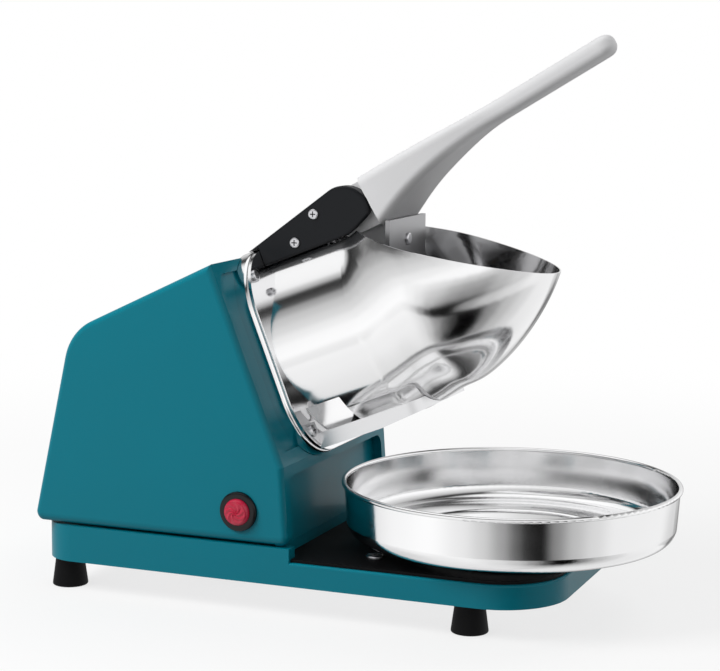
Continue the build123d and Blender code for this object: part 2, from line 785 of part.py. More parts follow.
with BuildPart() as lever:
    with BuildSketch(lever_plane):
        with BuildLine():
            first, second = Vector(*flare_lower[0]), Vector(*flare_lower[1])
            Spline(*flare_lower, tangents=[second - first, (1, 0)])
            Polyline(
                flare_lower[-1], (lever_length, grip_lower), (lever_length, lever_top),
                (flare_start, lever_top), flare_lower[0])
        make_face()
    extrude(amount=flare_half_width, both=True)
    with BuildSketch(plan_plane):
        with BuildLine():
            round_start = lever_length - grip_half_width
            for side in (-1, 1):
                edge_points = [(along, side * width) for along, width in flare_plan]
                Spline(*edge_points, tangents=[(1, 0), (1, 0)])
                Line(edge_points[-1], (round_start, side * grip_half_width))
            ThreePointArc(
                (round_start, -grip_half_width), (lever_length, 0), (round_start, grip_half_width))
            Line((flare_start, -flare_half_width), (flare_start, flare_half_width))
        make_face()
    extrude(amount=lever_length, both=True, mode=Mode.INTERSECT)
    fillet(lever.edges().filter_by(is_long_edge), lever_edge_round)
    with BuildSketch(lever_plane):
        Circle(hub_radius)
        with BuildLine():
            Polyline(
                (0, -hub_radius), (flare_start + root_overlap, flare_lower[0][1] + root_overlap),
                (flare_start + root_overlap, lever_top - root_overlap), (0, hub_radius),
                close=True)
        make_face()
    extrude(amount=hub_half_width, both=True)
    with BuildSketch(press_plane):
        with BuildLine():
            Polyline(
                (0, 0), lug_heel, (press_front - lug_toe_length, lug_bottom),
                (press_front, lug_bottom), (press_front, lug_top), close=True)
        make_face()
    extrude(amount=lug_half_width, both=True)
    for side in (-1, 1):
        with BuildSketch(lever_plane.offset(-side * hub_half_width)):
            Circle(cheek_radius + cheek_clearance)
        extrude(amount=-side * block_half_width, mode=Mode.SUBTRACT)
    with BuildSketch(lever_plane):
        Circle(pin_radius + slip_fit)
    extrude(amount=block_half_width, both=True, mode=Mode.SUBTRACT)
    with BuildSketch(rivet_plane):
        with Locations(*rivet_places):
            Circle(rivet_radius)
    extrude(amount=-press_sheet - rivet_grip, mode=Mode.SUBTRACT)
finish(lever, "lever")

press_bend = (press_front, -press_drop)
press_toe = (
    press_front + press_foot_length * cos(radians(press_foot_slope)),
    -press_drop - press_foot_length * sin(radians(press_foot_slope)))

with BuildPart() as press_plate:
    with BuildSketch(press_plane):
        with BuildLine():
            Polyline((press_front, press_top), press_bend, press_toe)
            offset(amount=press_sheet, side=Side.LEFT)
        make_face()
    extrude(amount=press_half_width, both=True)
    fillet(press_plate.faces().sort_by(Axis.X)[-1].edges().filter_by(
        lambda edge: edge.length < press_half_width), press_corner)
    with BuildSketch(rivet_plane):
        with Locations(*rivet_places):
            Circle(rivet_radius)
    extrude(amount=-press_sheet, mode=Mode.SUBTRACT)
finish(press_plate, "press_plate")

for number, (y, height) in enumerate(rivet_places, start=1):
    seat = Plane(
        origin=rivet_plane.from_local_coords(Vector(y, height, 0)), x_dir=rivet_plane.x_dir,
        z_dir=rivet_plane.z_dir)
    make_screw(
        f"press_rivet_{number}", seat, rivet_head, rivet_head_height, rivet_radius,
        press_sheet + rivet_grip)

# ---------------------------------------------------------------- cutter and drive
motor_front = -sheet - motor_gap
motor_rear = motor_front - motor_length
fan_front = motor_rear - fan_gap
disc_front = disc_depth + disc_thickness


def blade_frame(angle, depth):
    """Plane on the disc turned about the drive axis: x runs out along one blade."""
    out = Vector(0, cos(radians(angle)), 0) + rise_dir * sin(radians(angle))
    return Plane(origin=drive_point(depth, 0), x_dir=out, z_dir=drive_dir)


with BuildPart() as motor_shaft:
    with BuildSketch(face_plane(fan_front - fan_thickness)):
        Circle(shaft_radius)
    extrude(amount=disc_front + nut_height + shaft_end - fan_front + fan_thickness)
    with BuildSketch(face_plane(collar_depth + shoulder_gap)):
        Circle(shoulder_radius)
    extrude(amount=disc_depth - collar_depth - shoulder_gap)
    chamfer(motor_shaft.faces().sort_by(Axis(face_origin, drive_dir))[-1].edges(), 1.0)
finish(motor_shaft, "motor_shaft")

with BuildPart() as cutter_disc:
    with BuildSketch(face_plane(disc_depth)):
        Circle(disc_radius)
        Circle(shaft_radius, mode=Mode.SUBTRACT)
    extrude(amount=disc_thickness)
    fillet(cutter_disc.faces().sort_by(Axis(face_origin, drive_dir))[-1].edges().sort_by(
        SortBy.LENGTH)[-1], 1.0)
    for angle in (0, 180):
        with BuildSketch(blade_frame(angle, disc_depth)):
            with Locations((blade_inner_radius, blade_slot_offset)):
                SlotOverall(blade_length, blade_slot_width, align=(Align.MIN, Align.CENTER))
            with Locations(*[(blade_inner_radius + reach, blade_offset) for reach in blade_screws]):
                Circle(blade_screw_shank)
        extrude(amount=disc_thickness, mode=Mode.SUBTRACT)
finish(cutter_disc, "cutter_disc")

for number, angle in enumerate((0, 180), start=1):
    with BuildPart() as blade:
        with BuildSketch(blade_frame(angle, disc_front)):
            with Locations((blade_inner_radius, blade_offset)):
                Rectangle(blade_length, blade_width, align=(Align.MIN, Align.CENTER))
        extrude(amount=blade_thickness)
        top_edges = blade.faces().sort_by(Axis(face_origin, drive_dir))[-1].edges()
        cutting_side = Axis(face_origin, blade_frame(angle, 0).y_dir)
        chamfer(top_edges.sort_by(cutting_side)[-1], blade_thickness * 0.8, blade_thickness * 2)
        with BuildSketch(blade_frame(angle, disc_front)):
            with Locations(*[(blade_inner_radius + reach, blade_offset) for reach in blade_screws]):
                Circle(blade_screw_shank)
        extrude(amount=blade_thickness, mode=Mode.SUBTRACT)
    finish(blade, f"blade_{number}")
    for screw_number, reach in enumerate(blade_screws, start=1):
        frame = blade_frame(angle, disc_front + blade_thickness)
        seat = Plane(
            origin=frame.from_local_coords(Vector(blade_inner_radius + reach, blade_offset, 0)),
            x_dir=frame.x_dir, z_dir=drive_dir)
        make_screw(
            f"blade_screw_{number}_{screw_number}", seat, 3.2, 1.4, blade_screw_shank,
            blade_thickness + disc_thickness)

with BuildPart() as disc_nut:
    with BuildSketch(face_plane(disc_front)):
        RegularPolygon(shaft_nut_radius, 6)
        Circle(shaft_radius, mode=Mode.SUBTRACT)
    extrude(amount=nut_height)
finish(disc_nut, "disc_nut")

with BuildPart() as motor_body:
    with BuildSketch(face_plane(motor_rear)):
        Circle(motor_radius)
    extrude(amount=motor_length)
    fillet(motor_body.edges().filter_by(GeomType.CIRCLE), motor_edge_round)
    with BuildSketch(face_plane(motor_front)):
        Circle(motor_nose_radius)
    extrude(amount=-motor_front)
    with BuildSketch(face_plane(motor_rear)):
        Circle(shaft_radius + slip_fit)
    extrude(amount=-motor_rear, mode=Mode.SUBTRACT)
finish(motor_body, "motor_body")

with BuildPart() as motor_mount:
    with BuildSketch(face_plane(motor_front)):
        Circle(motor_radius - motor_edge_round)
        Circle(motor_nose_radius + loose_fit, mode=Mode.SUBTRACT)
    extrude(amount=motor_gap)
finish(motor_mount, "motor_mount")

with BuildPart() as cooling_fan:
    with BuildSketch(face_plane(fan_front - fan_thickness)):
        Circle(fan_hub_radius)
    extrude(amount=fan_thickness)
    with BuildSketch(face_plane(fan_front - fan_thickness)):
        with PolarLocations(0, fan_blades):
            Rectangle(fan_radius, fan_blade_width, align=(Align.MIN, Align.CENTER))
    extrude(amount=fan_thickness)
    with BuildSketch(face_plane(fan_front - fan_thickness)):
        Circle(shaft_radius)
    extrude(amount=fan_thickness, mode=Mode.SUBTRACT)
finish(cooling_fan, "cooling_fan")

# ---------------------------------------------------------------- bowl
with BuildPart() as bowl:
    with BuildSketch(Plane.XZ):
        with BuildLine():
            Polyline(
                (bowl_x, mat_top_z), (bowl_x + bowl_foot_radius, mat_top_z),
                (bowl_x + bowl_foot_radius + bowl_foot_flare, mat_top_z + bowl_foot_height),
                (bowl_x + bowl_base_radius + bowl_corner, mat_top_z + bowl_foot_height + 1),
                (bowl_x + bowl_radius - bowl_rim_bead, bowl_rim_z - bowl_rim_bead),
                (bowl_x, bowl_rim_z - bowl_rim_bead), close=True)
        make_face()
    revolve(axis=Axis((bowl_x, 0, 0), (0, 0, 1)))
    rounds = bowl.edges().filter_by(GeomType.CIRCLE).sort_by(Axis.Z)
    foot_edge, waist_edge, corner_edge = rounds[0], rounds[1], rounds[2]
    fillet(corner_edge, bowl_corner)
    fillet([foot_edge, waist_edge], bowl_foot_round)
    offset(amount=-bowl_wall, openings=bowl.faces().sort_by(Axis.Z)[-1])
    with BuildSketch(Plane.XZ):
        with Locations((bowl_x + bowl_radius - bowl_rim_bead, bowl_rim_z - bowl_rim_bead)):
            Circle(bowl_rim_bead)
    revolve(axis=Axis((bowl_x, 0, 0), (0, 0, 1)))
finish(bowl, "bowl")

# ---------------------------------------------------------------- power switch
with BuildPart() as switch_bezel:
    with BuildSketch(switch_plane):
        Circle(bezel_radius)
    extrude(amount=bezel_height)
    fillet(switch_bezel.faces().sort_by(Axis.Y)[0].edges(), bezel_height * 0.7)
    with BuildSketch(switch_plane):
        Circle(barrel_radius)
    extrude(amount=-barrel_depth)
    with BuildSketch(switch_plane.offset(bezel_height)):
        Circle(button_radius + slip_fit)
    extrude(amount=-bezel_height - barrel_depth, mode=Mode.SUBTRACT)
finish(switch_bezel, "switch_bezel")

with BuildPart() as power_button:
    with BuildSketch(switch_plane.offset(bezel_height + button_proud)):
        Circle(button_radius)
    extrude(amount=-bezel_height - button_proud - button_skirt)
    fillet(power_button.faces().sort_by(Axis.Y)[0].edges(), button_proud * 0.9)
finish(power_button, "power_button")

with BuildPart() as switch_nut:
    with BuildSketch(switch_plane.offset(-sheet)):
        RegularPolygon(bezel_radius + 2, 6)
        Circle(barrel_radius + slip_fit, mode=Mode.SUBTRACT)
    extrude(amount=-switch_nut_height)
finish(switch_nut, "switch_nut")

with BuildPart() as switch_body:
    with BuildSketch(switch_plane.offset(-barrel_depth)):
        Circle(barrel_radius)
    extrude(amount=-switch_body_depth)
    for side in (-1, 1):
        with BuildSketch(switch_plane.offset(-barrel_depth - switch_body_depth)):
            with Locations((side * barrel_radius / 2, 0)):
                Rectangle(terminal_thickness, terminal_width)
        extrude(amount=-terminal_length)
finish(switch_body, "switch_body")

# ---------------------------------------------------------------- cable inlet
with BuildPart() as cable_gland:
    with BuildSketch(gland_plane):
        RegularPolygon(gland_radius, 6)
    extrude(amount=gland_length * 0.5)
    with BuildSketch(gland_plane.offset(gland_length * 0.5)):
        Circle(gland_radius * 0.8)
    extrude(amount=gland_length * 0.5)
    fillet(cable_gland.faces().sort_by(Axis.X)[0].edges(), gland_collar_round)
    with BuildSketch(gland_plane):
        Circle(gland_thread_radius)
    extrude(amount=-gland_length)
    with BuildSketch(gland_plane.offset(gland_length)):
        Circle(gland_bore)
    extrude(amount=-2 * gland_length, mode=Mode.SUBTRACT)
finish(cable_gland, "cable_gland")

with BuildPart() as gland_nut:
    with BuildSketch(gland_plane.offset(-sheet)):
        RegularPolygon(gland_radius, 6)
        Circle(gland_thread_radius + slip_fit, mode=Mode.SUBTRACT)
    extrude(amount=-gland_nut_height)
finish(gland_nut, "gland_nut")
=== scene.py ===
"""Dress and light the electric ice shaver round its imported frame.

Everything is in metres in the part's own frame: +X forward from the housing to the
bowl, +Y to the side away from the power button, +Z up, with the origin on the floor.
"""

from __future__ import annotations

import logging
import math
from dataclasses import dataclass
from enum import Enum
from typing import Iterator, Sequence

import bpy
import numpy as np
from mathutils import Matrix, Vector

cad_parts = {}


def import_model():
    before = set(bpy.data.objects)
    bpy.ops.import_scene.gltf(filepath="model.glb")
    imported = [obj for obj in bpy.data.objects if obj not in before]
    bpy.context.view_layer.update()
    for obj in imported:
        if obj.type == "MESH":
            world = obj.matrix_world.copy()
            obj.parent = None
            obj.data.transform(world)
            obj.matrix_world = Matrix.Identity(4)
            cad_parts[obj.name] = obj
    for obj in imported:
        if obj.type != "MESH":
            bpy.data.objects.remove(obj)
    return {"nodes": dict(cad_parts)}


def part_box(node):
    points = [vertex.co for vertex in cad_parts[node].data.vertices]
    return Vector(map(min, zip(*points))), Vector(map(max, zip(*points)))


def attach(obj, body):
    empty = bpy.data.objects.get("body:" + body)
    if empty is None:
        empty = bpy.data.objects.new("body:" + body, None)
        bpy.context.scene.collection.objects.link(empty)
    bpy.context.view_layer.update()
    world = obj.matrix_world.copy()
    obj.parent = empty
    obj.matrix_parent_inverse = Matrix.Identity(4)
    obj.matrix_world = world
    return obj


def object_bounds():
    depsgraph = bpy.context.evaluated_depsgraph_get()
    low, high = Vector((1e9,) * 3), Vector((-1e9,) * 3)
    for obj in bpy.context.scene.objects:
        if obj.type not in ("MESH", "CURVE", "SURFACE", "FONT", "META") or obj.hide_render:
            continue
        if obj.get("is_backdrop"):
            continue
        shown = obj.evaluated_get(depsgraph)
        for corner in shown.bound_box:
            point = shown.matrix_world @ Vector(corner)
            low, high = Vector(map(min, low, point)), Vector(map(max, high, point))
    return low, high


LOG = logging.getLogger("ice_shaver")

Colour = tuple[float, float, float]
Point = tuple[float, float, float]
Stops = tuple[tuple[float, float], ...]
Socket = bpy.types.NodeSocket

WHITE: Colour = (1.0, 1.0, 1.0)

# The sockets of a colour mix, by number: its two colours and its result.
MIX_FIRST = 6
MIX_SECOND = 7
MIX_RESULT = 2


class Body(Enum):
    """The frame's bodies that the new pieces ride on."""

    MACHINE = "machine"
    BUTTON = "power_button"


class Slot(Enum):
    """Names of finish slots for the new pieces; nothing in this script uses them."""

    BUTTON = "red_button"
    ZINC = "zinc"


# ------------------------------------------------------------------ node helpers
class Graph:
    """Adds and joins the nodes of one material or of the world."""

    def __init__(self, tree: bpy.types.NodeTree) -> None:
        """Start from an empty tree.

        Args:
            tree: The node tree to fill.
        """
        self.tree = tree
        tree.nodes.clear()

    def add(self, kind: str, **settings: object) -> bpy.types.Node:
        """Add a node and set its properties.

        Args:
            kind: The node's type.
            settings: Property names and their values.

        Returns:
            The new node.
        """
        node = self.tree.nodes.new(kind)
        for name, value in settings.items():
            setattr(node, name, value)
        return node

    def feed(self, target: Socket, value: Socket | float | Sequence[float]) -> None:
        """Link an output socket to an input, or set a plain value on the input.

        Args:
            target: The input socket.
            value: A socket, a number, a vector, or a colour of three channels.
        """
        if isinstance(value, Socket):
            self.tree.links.new(value, target)
        elif target.type == "RGBA":
            target.default_value = (*value, 1.0)
        else:
            target.default_value = value

    def math(self, operation: str, *values: Socket | float) -> Socket:
        """Work out one number from others.

        Args:
            operation: What is done with them.
            values: Sockets or plain numbers, in the operation's order.

        Returns:
            The result's socket.
        """
        node = self.add("ShaderNodeMath", operation=operation)
        for target, value in zip(node.inputs, values):
            self.feed(target, value)
        return node.outputs["Value"]

    def halved(self, source: Socket) -> Socket:
        """Bring a value from -1 to 1 to the range 0 to 1."""
        return self.math("MULTIPLY_ADD", source, 0.5, 0.5)

    def along(self, direction: Socket, axis: Vector) -> Socket:
        """A direction's share along an axis.

        Args:
            direction: The direction's socket.
            axis: The axis, of length 1.

        Returns:
            The share's socket, from -1 to 1.
        """
        node = self.add("ShaderNodeVectorMath", operation="DOT_PRODUCT")
        self.feed(node.inputs[0], direction)
        self.feed(node.inputs[1], axis)
        return node.outputs["Value"]

    def spread(
        self, source: Socket, low: float, high: float,
        start: float = 0.0, end: float = 1.0, easing: str = "LINEAR",
    ) -> Socket:
        """Map a value onto a range.

        Args:
            source: The value.
            low: What it becomes at the start and below.
            high: What it becomes at the end and above.
            start: The value where the range starts.
            end: The value where the range ends.
            easing: How it runs between the two.

        Returns:
            The mapped value's socket.
        """
        node = self.add("ShaderNodeMapRange", interpolation_type=easing)
        self.feed(node.inputs["Value"], source)
        self.feed(node.inputs["From Min"], start)
        self.feed(node.inputs["From Max"], end)
        self.feed(node.inputs["To Min"], low)
        self.feed(node.inputs["To Max"], high)
        return node.outputs["Result"]

    def ramp(self, source: Socket, stops: Stops) -> Socket:
        """Turn a value into a grey level that eases from stop to stop.

        Args:
            source: The value, from 0 to 1.
            stops: Pairs of position and level, in order.

        Returns:
            The grey's socket.
        """
        node = self.add("ShaderNodeValToRGB")
        node.color_ramp.interpolation = "EASE"
        elements = node.color_ramp.elements
        while len(elements) > 1:
            elements.remove(elements[-1])
        for index, (position, level) in enumerate(stops):
            element = elements[0] if index == 0 else elements.new(position)
            element.position = position
            element.color = (level, level, level, 1.0)
        self.feed(node.inputs["Fac"], source)
        return node.outputs["Color"]

    def noise(
        self, scale: float, detail: float, stretch: Point = (1.0, 1.0, 1.0),
    ) -> Socket:
        """Noise on Object coordinates.

        Args:
            scale: Its scale, in waves per metre.
            detail: Its number of finer layers.
            stretch: How much it is squeezed along each axis.

        Returns:
            The noise value's socket.
        """
        coordinates = self.add("ShaderNodeTexCoord")
        mapping = self.add("ShaderNodeMapping")
        texture = self.add("ShaderNodeTexNoise")
        self.feed(mapping.inputs["Vector"], coordinates.outputs["Object"])
        self.feed(mapping.inputs["Scale"], stretch)
        self.feed(texture.inputs["Vector"], mapping.outputs["Vector"])
        self.feed(texture.inputs["Scale"], scale)
        self.feed(texture.inputs["Detail"], detail)
        return texture.outputs["Fac"]

    def mix(
        self, share: Socket | float, first: Socket | Colour, second: Socket | Colour,
        blend: str = "MIX",
    ) -> Socket:
        """Mix two colours.

        Args:
            share: How much of the second colour comes in, from 0 to 1.
            first: The colour at 0.
            second: The colour that comes in.
            blend: How it comes in.

        Returns:
            The mixed colour's socket.
        """
        node = self.add("ShaderNodeMix", data_type="RGBA", blend_type=blend)
        self.feed(node.inputs["Factor"], share)
        self.feed(node.inputs[MIX_FIRST], first)
        self.feed(node.inputs[MIX_SECOND], second)
        return node.outputs[MIX_RESULT]

    def fade(self, share: Socket, first: Socket, second: Socket) -> Socket:
        """Mix two shaders.

        Args:
            share: How much of the second shader shows, from 0 to 1.
            first: The shader at 0.
            second: The shader at 1.

        Returns:
            The mixed shader's socket.
        """
        node = self.add("ShaderNodeMixShader")
        for target, value in zip(node.inputs, (share, first, second)):
            self.feed(target, value)
        return node.outputs["Shader"]

    def background(self, colour: Socket | Colour, strength: float) -> Socket:
        """Light that comes from all round.

        Args:
            colour: Its colour.
            strength: Its strength.

        Returns:
            The light's socket.
        """
        node = self.add("ShaderNodeBackground")
        self.feed(node.inputs["Color"], colour)
        self.feed(node.inputs["Strength"], strength)
        return node.outputs["Background"]


def shaded(colour: Colour, factor: float) -> Colour:
    """The colour with each channel multiplied by a factor and kept below 1."""
    return tuple(min(channel * factor, 1.0) for channel in colour)


# ------------------------------------------------------------------ finishes
@dataclass(frozen=True)
class Finish:
    """A surface finish: its colour, gloss and fine relief.

    Attributes:
        name: The material's name.
        colour: Base colour.
        metallic: 1 for bare metal and 0 for paint or plastic.
        roughness: Lowest and highest roughness.
        patch_scale: Waves per metre of the slow change in colour and gloss.
        patch_detail: Number of finer layers in that change.
        patch_depth: Share by which the colour changes.
        grain_scale: Waves per metre of the fine relief.
        grain_detail: Number of finer layers in the relief.
        grain_height: Height of the fine relief, in metres.
        grain_stretch: How the relief is squeezed along each axis.
        coat: Weight of the clear coat.
        coat_roughness: Roughness of the clear coat.
        glow: Strength of the light it gives off.
        shine: Specular level of paint, plastic and rubber.
    """

    name: str
    colour: Colour
    metallic: float = 0.0
    roughness: tuple[float, float] = (0.4, 0.5)
    patch_scale: float = 18.0
    patch_detail: float = 3.0
    patch_depth: float = 0.06
    grain_scale: float = 900.0
    grain_detail: float = 4.0
    grain_height: float = 0.00001
    grain_stretch: Point = (1.0, 1.0, 1.0)
    coat: float = 0.0
    coat_roughness: float = 0.1
    glow: float = 0.0
    shine: float = 0.5

    def build(self) -> bpy.types.Material:
        """Make the material.

        Returns:
            The material, with its pattern on Object coordinates.
        """
        material = bpy.data.materials.new(self.name)
        material.use_nodes = True
        graph = Graph(material.node_tree)
        output = graph.add("ShaderNodeOutputMaterial")
        shader = graph.add("ShaderNodeBsdfPrincipled")
        graph.feed(output.inputs["Surface"], shader.outputs["BSDF"])
        graph.feed(shader.inputs["Metallic"], self.metallic)
        graph.feed(shader.inputs["Specular IOR Level"], self.shine)
        graph.feed(shader.inputs["Coat Weight"], self.coat)
        graph.feed(shader.inputs["Coat Roughness"], self.coat_roughness)
        patches = graph.noise(self.patch_scale, self.patch_detail)
        darker = shaded(self.colour, 1 - self.patch_depth)
        lighter = shaded(self.colour, 1 + self.patch_depth)
        graph.feed(shader.inputs["Base Color"], graph.mix(patches, darker, lighter))
        graph.feed(shader.inputs["Roughness"], graph.spread(patches, *self.roughness))
        bump = graph.add("ShaderNodeBump")
        grain = graph.noise(self.grain_scale, self.grain_detail, self.grain_stretch)
        graph.feed(bump.inputs["Strength"], 1.0)
        graph.feed(bump.inputs["Distance"], self.grain_height)
        graph.feed(bump.inputs["Height"], grain)
        graph.feed(shader.inputs["Normal"], bump.outputs["Normal"])
        if self.glow:
            graph.feed(shader.inputs["Emission Color"], self.colour)
            graph.feed(shader.inputs["Emission Strength"], self.glow)
        return material


class Finishes:
    """All finishes of the machine, each made once."""

    TEAL = Finish(
        "teal_powder_coat", (0.001, 0.2, 0.268), roughness=(0.26, 0.36), patch_depth=0.04,
        grain_scale=1400.0, grain_height=0.000014, shine=0.12, coat=0.12, coat_roughness=0.08)
    CHROME = Finish(
        "polished_steel", (0.90, 0.90, 0.905), metallic=1.0, roughness=(0.09, 0.14),
        patch_depth=0.02, grain_scale=300.0, grain_height=0.000002)
    ALLOY = Finish(
        "satin_cast_alloy", (0.82, 0.82, 0.83), metallic=0.2, roughness=(0.42, 0.52),
        patch_depth=0.03, grain_scale=1500.0, grain_height=0.000006)
    BLOCK = Finish(
        "moulded_black_block", (0.008, 0.009, 0.011), roughness=(0.3, 0.4),
        grain_scale=1600.0, grain_height=0.00002, shine=0.2)
    RUBBER = Finish(
        "black_rubber", (0.003, 0.003, 0.0035), roughness=(0.55, 0.7), grain_scale=2500.0,
        grain_height=0.00002, shine=0.15)
    GLOSS = Finish(
        "black_gloss_plastic", (0.005, 0.005, 0.006), roughness=(0.16, 0.24),
        grain_height=0.000004, shine=0.3)
    BUTTON = Finish(
        "lit_red_lens", (0.46, 0.012, 0.045), roughness=(0.14, 0.22), patch_scale=120.0,
        patch_depth=0.2, grain_scale=500.0, grain_height=0.00004, glow=0.18)
    # Dark grey laid over the screw heads as painted shade of their cross recesses.
    RECESS_SHADE = Finish(
        "recess_shadow", (0.12, 0.12, 0.125), roughness=(0.5, 0.6), shine=0.2)
    GUARD = Finish(
        "satin_steel_sheet", (0.78, 0.78, 0.79), metallic=1.0, roughness=(0.26, 0.36),
        grain_height=0.000012, grain_stretch=(0.05, 1.0, 1.0))
    # The press plate's dark steel colour is painted shade: it stands for the shadow that falls
    # on it under the lever.
    PLATE_PAINTED_SHADE = Finish(
        "rolled_steel_plate_painted_shade", (0.36, 0.36, 0.37), metallic=1.0, roughness=(0.3, 0.42),
        grain_scale=1100.0)
    STEEL = Finish(
        "brushed_steel", (0.62, 0.62, 0.63), metallic=1.0, roughness=(0.22, 0.34),
        grain_scale=1500.0, grain_height=0.000008, grain_stretch=(1.0, 1.0, 0.05))
    ZINC = Finish(
        "zinc_plate", (0.68, 0.68, 0.70), metallic=1.0, roughness=(0.25, 0.35),
        grain_scale=1200.0)
    BRONZE = Finish(
        "sintered_bronze", (0.55, 0.36, 0.18), metallic=1.0, grain_scale=2600.0,
        grain_height=0.00003)
    MOTOR = Finish(
        "motor_lacquer", (0.03, 0.032, 0.035), roughness=(0.35, 0.45), grain_height=0.00002)
    FAN = Finish("fan_nylon", (0.82, 0.81, 0.78))

    def __init__(self) -> None:
        """Make no material yet."""
        self.made: dict[str, bpy.types.Material] = {}

    def get(self, finish: Finish) -> bpy.types.Material:
        """Look up a finish's material, and make it on its first use.

        Args:
            finish: The finish.

        Returns:
            Its material.
        """
        if finish.name not in self.made:
            self.made[finish.name] = finish.build()
        return self.made[finish.name]


DRESS: dict[Finish, tuple[str, ...]] = {
    Finishes.TEAL: ("housing", "base_tray"),
    Finishes.CHROME: ("hopper", "collar", "bowl"),
    Finishes.GUARD: ("chute_guard",),
    Finishes.PLATE_PAINTED_SHADE: ("press_plate",),
    Finishes.ALLOY: ("lever",),
    Finishes.BLOCK: ("hinge_block", "hinge_cheek_near", "hinge_cheek_far", "switch_body"),
    Finishes.RUBBER: ("tray_mat", "foot_1", "foot_2", "foot_3", "foot_4", "motor_mount"),
    Finishes.GLOSS: ("switch_bezel", "switch_nut", "cable_gland", "gland_nut"),
    Finishes.BUTTON: ("power_button",),
    Finishes.STEEL: ("pivot_pin", "motor_shaft", "cutter_disc", "blade_1", "blade_2"),
    Finishes.ZINC: (
        "bottom_plate", "disc_nut", "foot_screw_1", "foot_screw_2", "foot_screw_3",
        "foot_screw_4", "tray_screw_1", "tray_screw_2", "collar_screw_1", "collar_screw_2",
        "collar_screw_3", "collar_screw_4", "hinge_screw_near_1", "hinge_screw_near_2",
        "hinge_screw_far_1", "hinge_screw_far_2", "press_rivet_1", "press_rivet_2",
        "blade_screw_1_1", "blade_screw_1_2", "blade_screw_2_1", "blade_screw_2_2"),
    Finishes.BRONZE: ("front_bearing",),
    Finishes.MOTOR: ("motor_body",),
    Finishes.FAN: ("cooling_fan",),
}


def dress_nodes(nodes: dict[str, bpy.types.Object], finishes: Finishes) -> None:
    """Give every node of the frame its finish.

    Args:
        nodes: The frame's objects by node name.
        finishes: Where the materials come from.

    Raises:
        ValueError: If a node has no finish.
    """
    for finish, names in DRESS.items():
        for name in names:
            slots = nodes[name].data.materials
            slots.clear()
            slots.append(finishes.get(finish))
    undressed = set(nodes) - {name for names in DRESS.values() for name in names}
    if undressed:
        raise ValueError(f"nodes without a finish: {sorted(undressed)}")


# ------------------------------------------------------------------ mesh helpers
def grid_faces(rows: int, columns: int) -> np.ndarray:
    """Corner numbers of the quads between the points of an open grid.

    Args:
        rows: Number of points along the first parameter.
        columns: Number of points along the second.

    Returns:
        One row of four corner numbers for each quad.
    """
    index = np.arange(rows * columns).reshape(rows, columns)
    corners = [index[:-1, :-1], index[1:, :-1], index[1:, 1:], index[:-1, 1:]]
    return np.stack(corners, axis=-1).reshape(-1, 4)


def mesh_object(
    name: str, points: np.ndarray, faces: np.ndarray | list[list[int]], smooth: bool = True,
) -> bpy.types.Object:
    """Make an object at the origin from points and faces.

    Args:
        name: The object's name.
        points: One row for each point.
        faces: The corner numbers of each face.
        smooth: Whether the faces are shaded smooth.

    Returns:
        The object, linked to the scene.
    """
    mesh = bpy.data.meshes.new(name)
    rows = faces.tolist() if isinstance(faces, np.ndarray) else faces
    mesh.from_pydata(points.tolist(), [], rows)
    if smooth:
        mesh.shade_smooth()
    else:
        mesh.shade_flat()
    mesh.update()
    made = bpy.data.objects.new(name, mesh)
    bpy.context.scene.collection.objects.link(made)
    return made


def placed(points: np.ndarray, centre: np.ndarray, facing: Sequence[float]) -> np.ndarray:
    """Turn points from their own axes so that their z axis faces a direction, and move them.

    Args:
        points: One row for each point.
        centre: Where their origin goes.
        facing: The direction that their z axis gets.

    Returns:
        The moved points.
    """
    up = np.asarray(facing, float) / np.linalg.norm(facing)
    helper = np.eye(3)[np.argmin(np.abs(up))]
    across = np.cross(helper, up)
    across /= np.linalg.norm(across)
    return points @ np.stack([across, np.cross(up, across), up]) + centre


def closed_turning(
    radii: np.ndarray, heights: np.ndarray,
) -> tuple[np.ndarray, list[list[int]]]:
    """A closed surface between two poles: ring i, step j lies at (r cos a, r sin a, h).

    Args:
        radii: Radius r by ring and step, from the top ring to the bottom one.
        heights: Height h by ring and step. The poles get the mean heights of the first
            and of the last ring.

    Returns:
        The points, and the faces, which point outwards.
    """
    rings, steps = radii.shape
    angles = np.arange(steps) * 2 * np.pi / steps
    shell = np.stack([radii * np.cos(angles), radii * np.sin(angles), heights], axis=-1)
    poles = np.array([[0, 0, heights[0].mean()], [0, 0, heights[-1].mean()]])
    index = np.arange(rings * steps).reshape(rings, steps)
    onward = np.roll(index, -1, axis=1)
    top_pole, bottom_pole = np.full(steps, index.size), np.full(steps, index.size + 1)
    quads = np.stack([index[:-1], index[1:], onward[1:], onward[:-1]], axis=-1)
    top = np.stack([top_pole, index[0], onward[0]], axis=-1)
    bottom = np.stack([bottom_pole, onward[-1], index[-1]], axis=-1)
    faces = quads.reshape(-1, 4).tolist() + top.tolist() + bottom.tolist()
    return np.vstack([shell.reshape(-1, 3), poles]), faces


# ------------------------------------------------------------------ studio
# In these stops a height is a direction's share along the upright, from -1 to 1.

# The studio's grey level by a direction's share along the upright that leans.
BANDS: Stops = (
    (-1.0, 0.75), (-0.5, 0.86), (-0.1, 0.98), (0.05, 0.95), (0.2, 0.84), (0.35, 0.68),
    (0.5, 0.56), (0.62, 0.34), (0.69, 0.06), (0.77, 0.02), (0.82, 0.5), (0.86, 0.9),
    (1.0, 1.0))
# The grey level of the walls by azimuth, in degrees to the right of the camera.
WALLS: Stops = (
    (-180, 0.5), (-130, 0.75), (-88, 0.95), (-62, 1.0), (-38, 0.86), (-24, 0.68),
    (-11, 0.36), (0, 0.08), (6, 0.0), (17, 0.0), (27, 0.32), (40, 0.62), (55, 0.82),
    (72, 1.0), (118, 1.0), (133, 0.7), (150, 0.18), (163, 0.5), (180, 0.5))
# How far the walls turn to the right at a height, as a share of a full turn.
GAP_TURNS: Stops = (
    (-0.62, 0.07), (-0.44, 0.06), (-0.38, 0.0), (-0.31, 0.0), (-0.22, 0.04), (0.1, 0.045))
